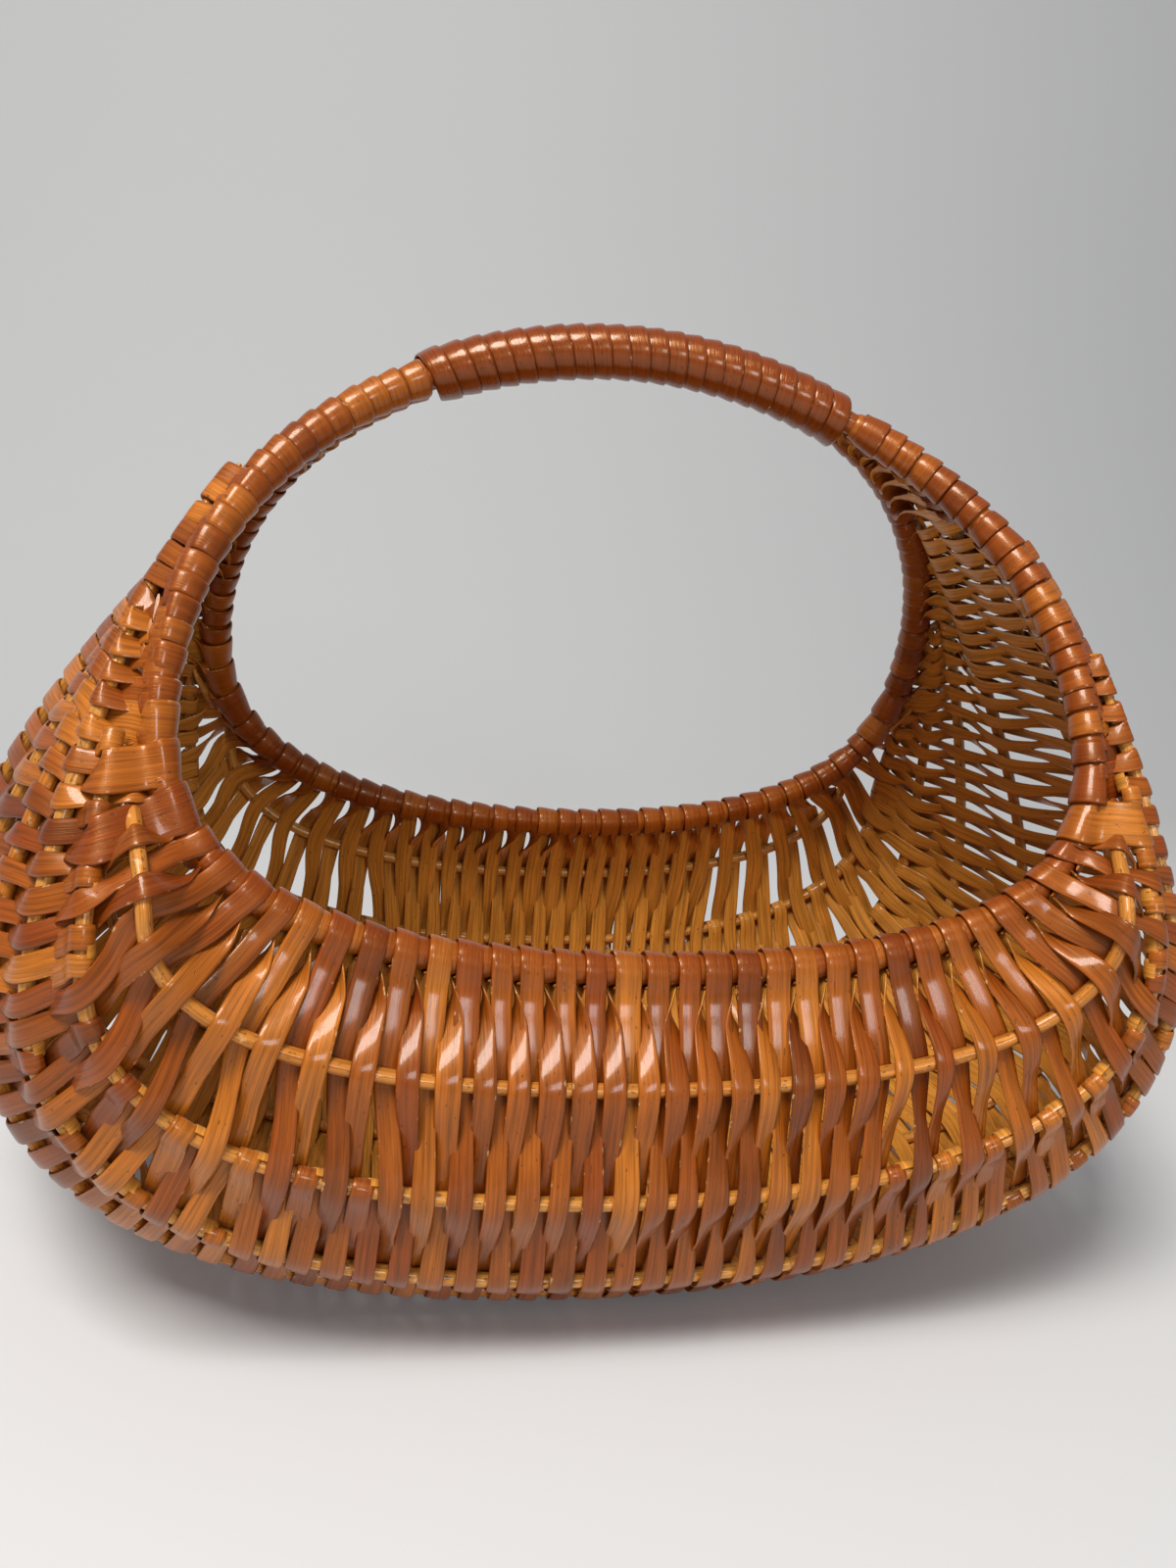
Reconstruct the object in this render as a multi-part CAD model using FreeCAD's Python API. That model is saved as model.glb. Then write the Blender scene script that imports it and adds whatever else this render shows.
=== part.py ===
"""Gondola basket of split willow: two rim hoops, eleven ribs, a bound grip and woven skeins.

Millimetres, +Z up, +X along the length, the front faces -Y. The origin is on the standing
plane under the middle of the base.
"""
import FreeCAD, Part
import itertools
import math
import os

V = FreeCAD.Vector

# Rims: two hoops that lie side by side along the grip and part towards the mouth
rim_diameter = 7.2
rim_half_length = 140.0
mouth_height = 127.0
mouth_half_depth = 81.0
shoulder_height = 196.0
shoulder_half_depth = 72.0
grip_height = 308.0
grip_clearance = 0.4
mouth_roundness = 0.66
arch_roundness = 0.68
arch_flatness = 0.44
gather_drop = 24.0

# Ribs: numbered from the front rim, under the base, to the back rim
rib_diameter = 4.4
belly_half_depth = 103.0
belly_height = 73.0
belly_squareness = 2.3
base_flat_half_depth = 32.0
end_half_length = 215.0
end_half_depth = 105.0
end_height = 106.0
end_step = 15.5
end_rise = 64.0
rib_roundness = 0.65
rib_slack = 0.22
rib_end_stand_off = 8.5
rib_end_positions = [0.97, 1.12, 1.27, 1.40, 1.50]
rib_tip_spacing = 12.0
keel_tip_gap = 6.0

# Grip: filler rods between the rims and a skein wound round the bundle
grip_half_length = 72.0
filler_diameter = 4.4
filler_half_length = 56.0
wrap_turns = 22
wrap_thickness = 0.8
wrap_gap = 1.1
wrap_clearance = 0.4

# Weave: flat skeins that pass in front of and behind the rods by turns
strip_count = 104
strip_reach = 0.985
strip_thickness = 0.9
strip_clearance = 0.45
strip_cover_at_rod = 1.18
strip_cover_between = 0.88
rim_turn_end = 225.0
base_flat_cut = 0.5

# Counts of samples
curve_samples = 60
rod_sections = 36
turn_sections = 16
rim_turn_steps = 5
facets_per_section = 2
profile_steps = 100
halvings = 40
small_step = 0.004

rib_count = 11
last_rod = rib_count + 1
middle_rod = last_rod // 2
rim_radius = rim_diameter / 2
rib_radius = rib_diameter / 2
keel_height = rib_radius + strip_clearance + strip_thickness - base_flat_cut
grip_half_gap = rim_radius + grip_clearance / 2
X = V(1, 0, 0)


def bezier(p0, p1, p2, p3, t):
    s = 1 - t
    return p0 * s**3 + p1 * (3 * s * s * t) + p2 * (3 * s * t * t) + p3 * t**3


def unit(v):
    return v / v.Length


def mirrored(v, across_x=False, across_y=False):
    return V(-v.x if across_x else v.x, -v.y if across_y else v.y, v.z)


def gathered(p):
    """The rims are drawn together where the grip binds them."""
    q = (grip_height - p.z) / gather_drop
    share = q * q / (1 + q * q)
    return V(p.x, -grip_half_gap + (p.y + grip_half_gap) * share, p.z)


def rim_curves():
    """Lower and upper cubic of the right half of the front rim."""
    low = V(0, -mouth_half_depth, mouth_height)
    wide = V(rim_half_length, -shoulder_half_depth, shoulder_height)
    top = V(0, -grip_half_gap, grip_height)
    lean = V(0, top.y - low.y, top.z - low.z) / (top.z - low.z)
    out = X * rim_half_length
    lower = (low, low + out * mouth_roundness, wide - lean * mouth_roundness * (wide.z - low.z), wide)
    upper = (wide, wide + lean * arch_roundness * (top.z - wide.z), top + out * arch_flatness, top)
    return lower, upper


def rim_point(g):
    """Front rim, right half: 0 at the mouth, 1 at the shoulder, 2 at the grip."""
    lower, upper = rim_curves()
    if g < 1:
        return gathered(bezier(*lower, g))
    return gathered(bezier(*upper, g - 1))


class Rod:
    """Right half of a front rod: points from the middle plane to its end, by length."""

    def __init__(self, points, radius, reach):
        self.points = points
        self.radius = radius
        self.reach = reach
        self.lengths = [0.0]
        for a, b in zip(points, points[1:]):
            self.lengths.append(self.lengths[-1] + (b - a).Length)
        self.woven_length = self.lengths[-1]
        self.rim_length = self.woven_length

    def at_length(self, s):
        """Place at length s; past the end it goes straight on."""
        i = 1
        while self.lengths[i] < s and i < len(self.points) - 1:
            i += 1
        span = self.lengths[i] - self.lengths[i - 1]
        t = (s - self.lengths[i - 1]) / span
        return self.points[i - 1] * (1 - t) + self.points[i] * t

    def at(self, u):
        """Place at u, which runs from -1 at the left end of the grip to 1 at its right end.
        Near the middle all rods keep the rims' spacing; towards their ends the longer ones fan out."""
        share = abs(u) / self.reach
        near = self.rim_length * self.reach
        p = self.at_length(share * (self.woven_length - (self.woven_length - near) * (1 - share) ** 2))
        return mirrored(p, across_x=u < 0)


def middle_profile():
    """Heights and depths across the middle of the body, from the rim to the keel, evenly spaced."""
    lift = mouth_height - belly_height
    high = lift / math.sqrt(1 - (mouth_half_depth / belly_half_depth) ** 2)
    start = math.asin(lift / high)
    line = []
    for i in range(profile_steps):
        a = start * (1 - i / profile_steps)
        line.append(V(0, -belly_half_depth * math.cos(a), belly_height + high * math.sin(a)))
    drop = belly_height - keel_height
    inward = belly_half_depth - base_flat_half_depth
    power = 2 / belly_squareness
    for i in range(profile_steps + 1):
        a = math.pi / 2 * i / profile_steps
        y = base_flat_half_depth + inward * max(math.cos(a), 0.0) ** power
        line.append(V(0, -y, belly_height - drop * math.sin(a) ** power))
    line.append(V(0, 0, keel_height))
    path = Rod(line, 0, 1)
    return [path.at_length(path.woven_length * k / middle_rod) for k in range(middle_rod + 1)]


def rim_rod():
    points = [rim_point(i / curve_samples) for i in range(2 * curve_samples + 1)]
    rod = Rod(points, rim_radius, 1.0)
    rod.woven_length = max(s for s, p in zip(rod.lengths, points) if p.x >= grip_half_length)
    return rod


def rib_rod(k, low, rim):
    """Right half of the front rib k, whose middle is at low."""
    inner = (middle_rod - k) / middle_rod
    wide = V(end_half_length - end_step * (middle_rod - k), -end_half_depth * (1 - (k / middle_rod) ** 3),
             end_height + end_rise * inner**2)
    if k < middle_rod:
        g = rib_end_positions[k - 1]
        seat = rim_point(g)
        along = unit(rim_point(g + small_step) - seat)
        end = seat + unit(V(along.z, 0, -along.x)) * rib_end_stand_off
    else:
        seat = rim.at_length(rim.woven_length)
        along = rim.at_length(rim.woven_length + rim_radius) - seat
        along = unit(V(along.x, 0, along.z))
        end = V(seat.x, 0, seat.z) + V(along.z, 0, -along.x) * keel_tip_gap
    rise = V(0, wide.y - low.y, wide.z - low.z)
    up = unit(rise)
    chord = (end - wide).Length
    lower = (low, low + X * (rib_roundness * wide.x), wide - rise * rib_roundness, wide)
    upper = (wide, wide + up * (rib_slack * chord), end - along * (rib_slack * chord), end)
    n = curve_samples
    points = [bezier(*lower, i / n) for i in range(n)] + [bezier(*upper, i / n) for i in range(n + 1)]
    return Rod(points, rib_radius, 1.0)


def length_to(rod, p):
    """Length along a rod to its point nearest p."""
    nearest = min(range(len(rod.points)), key=lambda i: (rod.points[i] - p).Length)
    return rod.lengths[nearest]


def shortened(rib, below, rim):
    """The rib, cut where it would come too near the rib below it or the rim."""
    def stands_clear(p):
        return min((p - q).Length for q in below.points + rim.points) >= rib_tip_spacing
    points = list(itertools.takewhile(stands_clear, rib.points))
    return Rod(points, rib.radius, length_to(rim, points[-1]) / rim.woven_length)


def all_rods():
    rim = rim_rod()
    profile = middle_profile()
    ribs = [rib_rod(middle_rod, profile[middle_rod], rim)]
    for k in range(middle_rod - 1, 0, -1):
        ribs.insert(0, shortened(rib_rod(k, profile[k], rim), ribs[0], rim))
    for rib in ribs:
        rib.rim_length = rim.woven_length
    return [rim] + ribs


rods = all_rods()


def rod_of(k):
    return rods[min(k, last_rod - k)]


def place(k, u):
    """Centre of rod k at u; rods past the middle are the front ones mirrored to the back."""
    return mirrored(rod_of(k).at(u), across_y=k > middle_rod)


def along_rod(k, u):
    limit = rod_of(k).reach - small_step
    u = min(max(u, -limit), limit)
    return unit(place(k, u + small_step) - place(k, u - small_step))


def crossed_rods(u):
    """Rods that a skein at u meets, from the front rim to the back rim."""
    half_cover = strip_cover_at_rod * strip_reach / strip_count
    met = [k for k in range(last_rod + 1) if abs(u) < rod_of(k).reach + half_cover]
    return sorted(set(met + [0, middle_rod, last_rod]))


def outward(k, u, kept):
    """Normal of the woven wall at rod k, away from the inside."""
    i = kept.index(k)
    before = place(kept[max(i - 1, 0)], u)
    after = place(kept[min(i + 1, len(kept) - 1)], u)
    return unit((after - before).cross(along_rod(k, u)))


def tube(points, radius):
    """Round rod through the points."""
    wires = []
    for i, p in enumerate(points):
        a = points[max(i - 1, 0)]
        b = points[min(i + 1, len(points) - 1)]
        wires.append(Part.Wire(Part.makeCircle(radius, p, unit(b - a))))
    return Part.makeLoft(wires, True, False)


def ruled_face(first, second):
    """Face between two curves that share their knots."""
    poles = [[p, q] for p, q in zip(first.getPoles(), second.getPoles())]
    surface = Part.BSplineSurface()
    surface.buildFromPolesMultsKnots(poles, first.getMultiplicities(), [2, 2], first.getKnots(), [0.0, 1.0],
                                     False, False, first.Degree, 1)
    return surface.toShape()


def corner_curves(sections):
    """Knots by length, and a smooth curve along each of the four corners of the sections."""
    centres = [(a + b + c + d) / 4 for a, b, c, d in sections]
    knots = [0.0]
    for p, q in zip(centres, centres[1:]):
        knots.append(knots[-1] + (q - p).Length)
    curves = []
    for corner in range(4):
        curve = Part.BSplineCurve()
        curve.interpolate(Points=[s[corner] for s in sections], Parameters=knots)
        curves.append(curve)
    return knots, curves


def faceted_strip(sections):
    """Strip of short straight lengths along sections of four corners each."""
    knots, curves = corner_curves(sections)
    marks = [knots[0]]
    for a, b in zip(knots, knots[1:]):
        marks += [a + (b - a) * (i + 1) / facets_per_section for i in range(facets_per_section)]
    wires = []
    for mark in marks:
        corners = [curve.value(mark) for curve in curves]
        if mark in (marks[0], marks[-1]):
            corners[3] = corners[0] + corners[2] - corners[1]
        wires.append(Part.makePolygon(corners + corners[:1]))
    return Part.makeLoft(wires, True, True)


def smooth_strip(sections):
    """Strip with smooth faces through sections of four corners each."""
    _, curves = corner_curves(sections)
    faces = [ruled_face(curves[i], curves[(i + 1) % 4]) for i in range(4)]
    for a, b, c, d in (sections[0], sections[-1]):
        faces.append(Part.makeRuledSurface(Part.makeLine(a, b), Part.makeLine(d, c)))
    shell = Part.Shell(faces)
    shell.sewShape()
    solid = Part.Solid(shell)
    if solid.Volume < 0:
        solid.reverse()
    return solid


def whole_rod(k):
    """One rod from its left end to its right end."""
    rod = rod_of(k)
    length = rod.lengths[-1]
    if rod is rods[0]:
        length -= grip_clearance
    right = [rod.at_length(length * i / rod_sections) for i in range(rod_sections + 1)]
    points = [mirrored(p, across_x=True) for p in reversed(right[1:])] + right
    return tube([mirrored(p, across_y=k > middle_rod) for p in points], rod.radius)


def grip_spine(x):
    """Middle of the bundle at x along the grip, its half depth and its direction."""
    rim = rods[0]
    low, high = rim.woven_length, rim.lengths[-1]
    for _ in range(halvings):
        mid = (low + high) / 2
        if rim.at_length(mid).x > abs(x):
            low = mid
        else:
            high = mid
    p = rim.at_length(low)
    ahead = rim.at_length(min(low + 1, rim.lengths[-1]))
    behind = rim.at_length(low - 1)
    t = ahead - behind
    t = unit(V(-t.x, 0, -t.z))
    if x < 0:
        t = V(t.x, 0, -t.z)
    return V(x, 0, p.z), abs(p.y), t


def filler(side):
    """Rod above or below the two rims inside the grip."""
    reach = rim_radius + filler_diameter / 2 + grip_clearance
    rise = math.sqrt(reach**2 - grip_half_gap**2)
    points = []
    for i in range(rod_sections + 1):
        x = filler_half_length * (2 * i / rod_sections - 1)
        spine, _, t = grip_spine(x)
        points.append(spine + V(-t.z, 0, t.x) * (side * rise))
    return tube(points, filler_diameter / 2)


def grip_wrap():
    """Skein wound round the rims and the filler rods."""
    reach = rim_radius + filler_diameter / 2 + grip_clearance
    bundle_rise = math.sqrt(reach**2 - grip_half_gap**2) + filler_diameter / 2 + wrap_clearance
    pitch = 2 * grip_half_length / wrap_turns
    width = pitch - wrap_gap
    span = grip_half_length - pitch / 2
    sections = []
    steps = wrap_turns * turn_sections
    for i in range(steps + 1):
        x = span * (2 * i / steps - 1)
        angle = 2 * math.pi * i / turn_sections
        spine, half_gap, t = grip_spine(x)
        rise = V(-t.z, 0, t.x)
        half_depth = half_gap + rim_radius + wrap_clearance
        ring = []
        for thick in (0, wrap_thickness):
            y = (half_depth + thick) * math.cos(angle)
            z = (bundle_rise + thick) * math.sin(angle)
            ring.append(spine + V(0, y, 0) + rise * z)
        half = t * (width / 2)
        sections.append((ring[0] - half, ring[0] + half, ring[1] + half, ring[1] - half))
    turns = list(zip(sections, sections[turn_sections:]))
    gap = min(min((a[1] - b[0]).Length, (a[2] - b[3]).Length) for a, b in turns)
    print("grip_wrap least gap between turns", round(gap, 2))
    return smooth_strip(sections)


def rim_turn(k, u, side, kept, first):
    """Centres and thickness directions of a skein's turn over a rim, from its tucked end."""
    rim = rod_of(k)
    n = outward(k, u, kept)
    t = along_rod(k, u)
    over = n.cross(t) if first else t.cross(n)
    reach = rim.radius + strip_clearance + strip_thickness / 2
    places = []
    for i in range(rim_turn_steps + 1):
        a = math.radians(rim_turn_end * (1 - i / rim_turn_steps))
        radial = n * (side * math.cos(a)) + over * math.sin(a)
        places.append((place(k, u) + radial * reach, radial * side))
    return places


def hand_at(k, side):
    """Side of rod k on which a skein passes: 1 outside, -1 inside."""
    return side if k % 2 == 0 else -side


def skein_line(u, side, kept, cover_shift):
    """Centres and thickness directions along one edge line of a skein."""
    line = []
    last = len(kept) - 1
    for i, k in enumerate(kept):
        hand = hand_at(k, side)
        if i in (0, last):
            edge = u + cover_shift * strip_cover_between
            turn = rim_turn(k, edge, hand, kept, i == 0)
            line += turn if i == 0 else list(reversed(turn))
        else:
            edge = u + cover_shift * strip_cover_at_rod
            n = outward(k, edge, kept)
            reach = rod_of(k).radius + strip_clearance + strip_thickness / 2
            line.append((place(k, edge) + n * (hand * reach), n))
        if i < last:
            edge = u + cover_shift * strip_cover_between
            k2 = kept[i + 1]
            n = unit(outward(k, edge, kept) + outward(k2, edge, kept))
            shift = rib_radius * (hand + hand_at(k2, side)) / 2
            line.append(((place(k, edge) + place(k2, edge)) / 2 + n * shift, n))
    return line


def skein(j):
    """Strip j, counted from the left end of the grip."""
    step = 2 * strip_reach / strip_count
    u = -strip_reach + step * (j + 0.5)
    kept = crossed_rods(u)
    side = 1 if j % 2 == 0 else -1
    left = skein_line(u, side, kept, -step / 2)
    right = skein_line(u, side, kept, step / 2)
    half = strip_thickness / 2
    sections = []
    for (p, n), (q, m) in zip(left, right):
        sections.append((p - n * half, q - m * half, q + m * half, p + n * half))
    solid = faceted_strip(sections)
    if solid.BoundBox.ZMin < 0:
        below = Part.makeBox(2 * end_half_length, 2 * belly_half_depth, rib_diameter,
                             V(-end_half_length, -belly_half_depth, -rib_diameter))
        solid = max(solid.cut(below).Solids, key=lambda piece: piece.Volume)
    return solid


def save(name, shape):
    shape.exportStep(os.path.join("parts", name + ".step"))
    box = shape.BoundBox
    print(name, "solids", len(shape.Solids), "valid", shape.isValid(), "volume", round(shape.Volume),
          "box", [round(v, 1) for v in (box.XMin, box.YMin, box.ZMin, box.XMax, box.YMax, box.ZMax)])


def main():
    os.makedirs("parts", exist_ok=True)
    save("front_rim_rod", whole_rod(0))
    save("back_rim_rod", whole_rod(last_rod))
    for k in range(1, last_rod):
        save("rib_%02d" % k, whole_rod(k))
    save("grip_filler_upper", filler(1))
    save("grip_filler_lower", filler(-1))
    save("grip_wrap", grip_wrap())
    zones = ["left_arch", "left_end", "left_corner", "left_wall",
             "right_wall", "right_corner", "right_end", "right_arch"]
    for z, zone in enumerate(zones):
        members = [j for j in range(strip_count) if j * len(zones) // strip_count == z]
        for parity, word in ((0, "outer"), (1, "inner")):
            strips = [skein(j) for j in members if j % 2 == parity]
            save("skeins_%s_%s" % (zone, word), Part.makeCompound(strips))


main()
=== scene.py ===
"""Gondola basket of split willow: the looks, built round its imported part.

Laid out as an add-on and run as a script. The shape's own values are millimetres in the part's
frame: +Z up, +X along the length, the front faces -Y. Meshes are metres.
"""
import itertools
import math

import bmesh
import bpy
import numpy as np
from bpy.props import FloatProperty, FloatVectorProperty, IntProperty, PointerProperty
from mathutils import Matrix, Vector


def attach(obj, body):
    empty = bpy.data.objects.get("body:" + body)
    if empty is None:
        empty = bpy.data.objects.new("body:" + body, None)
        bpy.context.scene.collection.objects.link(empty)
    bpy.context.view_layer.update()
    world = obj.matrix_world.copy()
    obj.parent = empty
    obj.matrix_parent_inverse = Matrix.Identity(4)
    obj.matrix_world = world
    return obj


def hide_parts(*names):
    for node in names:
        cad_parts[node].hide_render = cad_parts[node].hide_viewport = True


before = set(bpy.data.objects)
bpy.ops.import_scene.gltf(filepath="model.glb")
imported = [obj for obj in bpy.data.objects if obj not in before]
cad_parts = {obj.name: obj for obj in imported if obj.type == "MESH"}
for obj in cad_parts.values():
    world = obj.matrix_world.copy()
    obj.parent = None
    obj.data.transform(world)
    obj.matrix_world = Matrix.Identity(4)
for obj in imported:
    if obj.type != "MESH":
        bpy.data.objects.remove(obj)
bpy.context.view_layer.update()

bl_info = {
    "name": "Gondola Basket",
    "version": (1, 0, 0),
    "blender": (4, 5, 0),
    "location": "View3D > Sidebar > Basket",
    "description": "Weaves a gondola basket of split willow round its packed part",
    "category": "Object",
}

mm = 0.001
across_basket = np.array([0.0, 1.0, 0.0])
along_basket = np.array([1.0, 0.0, 0.0])

# Rims, as in the part
rim_diameter = 7.2
rim_half_length = 140.0
mouth_height = 127.0
mouth_half_depth = 81.0
shoulder_height = 196.0
shoulder_half_depth = 72.0
grip_height = 308.0
grip_clearance = 0.4
mouth_roundness = 0.66
arch_roundness = 0.68
arch_flatness = 0.44
gather_drop = 24.0

# Ribs, as in the part
rib_count = 11
rib_diameter = 4.4
belly_half_depth = 103.0
belly_height = 73.0
belly_squareness = 2.3
base_flat_half_depth = 32.0
end_half_length = 215.0
end_half_depth = 105.0
end_height = 106.0
end_step = 15.5
end_rise = 64.0
rib_roundness = 0.65
rib_slack = 0.22
keel_height = 3.05

# Rib tips, which run on further than the part's, taper and are tucked in
first_rib = 1
rib_end_positions = [0.935, 1.12, 1.27, 1.40, 1.50]
rib_end_stand_offs = [8.5, 8.5, 8.5, 7.0, 3.0]
rib_end_tuck = 3.5
rib_tip_spacing = 7.0
tip_taper_length = 22.0
tip_taper = 0.3
keel_tip_gap = 2.0

# Grip, as in the part
grip_half_length = 72.0
filler_diameter = 4.4
wrap_turns = 22
wrap_clearance = 0.4

# Spacing of the pairs of skeins; lengths run along a rod from the middle of the basket
weave_reach = 0.995
pair_pitch_front = 9.3
pair_pitch_arch = 7.2
pair_pitch_ribs = 11.5
arch_start = 140.0
arch_blend = 20.0
least_share_on_rim = 0.78
least_share_on_ribs = 0.76
even_rounds = 5
start_rods = [0, 2, 3, 4, 5, 6]
fan_place = 110.0
fan_reach = 13.0
shoulder_start = 147.0
shoulder_end = 173.0
shoulder_pitch = 13.5
shoulder_breadth = 1.95
zones = ["left_arch", "left_end", "left_corner", "left_wall",
         "right_wall", "right_corner", "right_end", "right_arch"]

# Samples and steps
curve_samples = 60
profile_steps = 100
halvings = 40
small_step = 0.004
direction_step = 1.0
pitch_step = 0.25
rim_turn_steps = 7
samples_per_key = 6
wrap_turn_samples = 28
rod_samples = 220

# How skeins lie: gaps to the rods, spread from skein to skein, twist below a rim, fold over a rib
rim_gap = 0.15
rib_gap = 0.1
place_spread = 0.45
width_spread = 0.07
wrap_width_spread = 0.05
lean_spread = 0.35
twist_shares = [(0.22, 0.62), (0.5, 0.2)]
fold_turn = math.radians(110)
bound_crossings = 2

# Sections of the swept pieces, and how a rod swells along its length
rim_sides = 16
rib_sides = 14
skein_sides = 12
round_section = 1.0
skein_section = 0.7
rim_unevenness = 0.5
swell_share = 0.015
swell_waves = range(3, 12, 2)

# Tones of the rods and the grip; each skein draws its own
rim_tone = 0.4
rib_tone_step = 0.37
wrap_tone = 0.35

# Grain of the willow: each noise has a scale along and across the fibres and a detail
tone_shift = (1.7, 0.9, 0.4)
streak_noise = (28.0, 1100.0, 3.0)
fibre_noise = (110.0, 4200.0, 2.0)
cloud_noise = (22.0, 60.0, 2.0)
speck_noise = (420.0, 900.0, 1.0)
grain_roughness = 0.6
streak_part = 0.65
fibre_part = 0.35
speck_softness = 0.06
speck_depth = 0.3

# Scuffs in the varnish
scuff_scale = 260.0
scuff_detail = 3.0
scuff_roughness = 0.65
scuff_on_edges = 0.24
scuff_start = 0.82
scuff_full = 0.95

# Where each effect of the finish starts and is full, and how strongly it shows
edge_limits = (0.55, 1.0)
inside_limits = (-0.35, 0.1)
streak_limits = (0.3, 0.68)
streak_shades = (0.42, 1.3)
cloud_middle = 0.5
cloud_drift = 0.5
grain_strength = 0.85
polish_strength = 0.45
speck_strength = 0.6
scuff_strength = 0.6
scuff_dullness = 0.25
inside_dullness = 0.2
streak_dullness = 0.16
polish_shine = 0.06
varnish_roughness = 0.14
reflection_level = 0.6
grain_bump = 0.7
grain_depth = 0.0004

# Finish of each kind of piece, with its colours in order of tone
finishes = {
    "split_willow": {
        "colours": ["russet", "amber", "gold", "amber", "chestnut"],
        "speck_share": 0.3, "scuff": 0.0, "rough": 0.34, "inside_share": 1.0},
    "grip_willow": {
        "colours": ["russet", "chestnut", "amber"],
        "speck_share": 0.34, "scuff": 0.0, "rough": 0.26, "inside_share": 0.0},
    "peeled_rib": {
        "colours": ["straw", "gold", "straw"],
        "speck_share": 0.36, "scuff": 0.02, "rough": 0.34, "inside_share": 0.0},
    "rim_hoop": {
        "colours": ["amber", "russet", "amber"],
        "speck_share": 0.35, "scuff": 0.0, "rough": 0.34, "inside_share": 0.0},
}

# Floor, backdrop and sky; sizes are metres
floor_half_width = 2.5
backdrop_place = 1.3
backdrop_height = 2.6
backdrop_bend = 0.7
bend_steps = 12
paper_roughness = 0.9
paper_reflection = 0.1
sky_colour = (0.93, 0.96, 1.0, 1.0)
sky_strength = 0.28

# Lamps; sizes and places are metres
lamp_aim = Vector((0.0, 0.0, 0.12))
key_place = Vector((-0.5, -0.7, 1.5))
key_size = 0.6
key_colour = (1.0, 0.98, 0.95)
fill_place = Vector((0.36, -2.0, 0.95))
fill_size = 0.46
fill_colour = (0.95, 0.97, 1.0)

# Camera at the photograph's angle, placed in millimetres
camera_place = Vector((-89.2, -394.8, 260.9))
camera_forward = Vector((0.2003, 0.9513, -0.2344))
camera_down = Vector((0.037, -0.2464, -0.9685))
film_width = 36.0
nearest_view = 0.01

last_rod = rib_count + 1
middle_rod = last_rod // 2
rim_radius = rim_diameter / 2
rib_radius = rib_diameter / 2
grip_half_gap = rim_radius + grip_clearance / 2


class BasketWeave(bpy.types.PropertyGroup):
    """Sizes of the skeins and how they lie."""
    thickness: FloatProperty(
        name="Skein Thickness", description="Thickness of a skein at its middle",
        default=0.00095, min=0.0003, max=0.002, precision=5, unit="LENGTH")
    width: FloatProperty(
        name="Skein Width", description="Width of a skein over a rib",
        default=0.0069, min=0.003, max=0.012, precision=4, unit="LENGTH")
    width_between: FloatProperty(
        name="Width Between Rods", description="Width of a skein midway between rods",
        default=0.0062, min=0.003, max=0.012, precision=4, unit="LENGTH")
    width_on_rim: FloatProperty(
        name="Width on Rims", description="Width of a skein's turn over a rim",
        default=0.0074, min=0.003, max=0.012, precision=4, unit="LENGTH")
    grip_cover: FloatProperty(
        name="Cover on the Grip", description="Width of the grip's skein, as a share of its turns' spacing",
        default=1.06, min=0.6, max=1.6, subtype="FACTOR")
    turn: FloatProperty(
        name="Turn over the Rim", description="Angle through which a skein goes round a rim",
        default=math.radians(285), min=0.0, max=math.radians(340), subtype="ANGLE")
    lean: FloatProperty(
        name="Lean Between Rods", description="Angle at which skeins pass each other between rods",
        default=math.radians(20), min=0.0, max=math.radians(60), subtype="ANGLE")
    lap: FloatProperty(
        name="Lap on Rims", description="Angle at which one turn laps over the next",
        default=math.radians(8), min=0.0, max=math.radians(15), subtype="ANGLE")
    unevenness: FloatProperty(
        name="Unevenness", description="How much width, place and lean differ from skein to skein",
        default=1.0, min=0.0, max=2.0, subtype="FACTOR")
    seed: IntProperty(
        name="Seed", description="Number that sets the differences between skeins", default=11, min=0)


def colour_setting(name, description, colour):
    return FloatVectorProperty(
        name=name, description=description, default=colour, size=3, min=0.0, max=1.0, subtype="COLOR")


class BasketWillow(bpy.types.PropertyGroup):
    """Colours and finish of the willow."""
    amber: colour_setting("Amber", "Commonest colour of the outside of the skeins", (0.285, 0.064, 0.004))
    gold: colour_setting("Gold", "Palest skeins", (0.43, 0.128, 0.012))
    chestnut: colour_setting("Chestnut", "Darkest skeins", (0.14, 0.024, 0.002))
    russet: colour_setting("Russet", "Reddest skeins", (0.21, 0.036, 0.003))
    inside: colour_setting("Inside", "Split inside face of the skeins", (0.56, 0.22, 0.028))
    straw: colour_setting("Straw", "Peeled round ribs", (0.60, 0.27, 0.05))
    pith: colour_setting("Pith", "Bare wood where an edge is scuffed", (0.72, 0.47, 0.23))
    bark: colour_setting("Bark", "Specks of bark and old varnish", (0.055, 0.020, 0.008))
    shine: colour_setting("Shine", "Tint of the old varnish's reflections", (1.0, 0.56, 0.24))
    gloss: FloatProperty(
        name="Varnish", description="Weight of the clear varnish",
        default=0.35, min=0.0, max=1.0, subtype="FACTOR")


class BasketStage(bpy.types.PropertyGroup):
    """Floor, lamps and camera."""
    floor_colour: colour_setting("Floor", "Colour of the floor and backdrop", (0.62, 0.62, 0.62))
    key_power: FloatProperty(
        name="Key Lamp", description="Power of the large lamp above the front",
        default=31.0, min=0.0, unit="POWER")
    fill_power: FloatProperty(
        name="Fill Lamp", description="Power of the smaller lamp further off at the front",
        default=11.0, min=0.0, unit="POWER")
    lens: FloatProperty(
        name="Lens", description="Focal length of the camera",
        default=27.0, min=10.0, max=200.0, unit="CAMERA")


def unit(v):
    return v / np.linalg.norm(v)


def unit_rows(rows):
    return rows / np.linalg.norm(rows, axis=1)[:, None]


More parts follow.
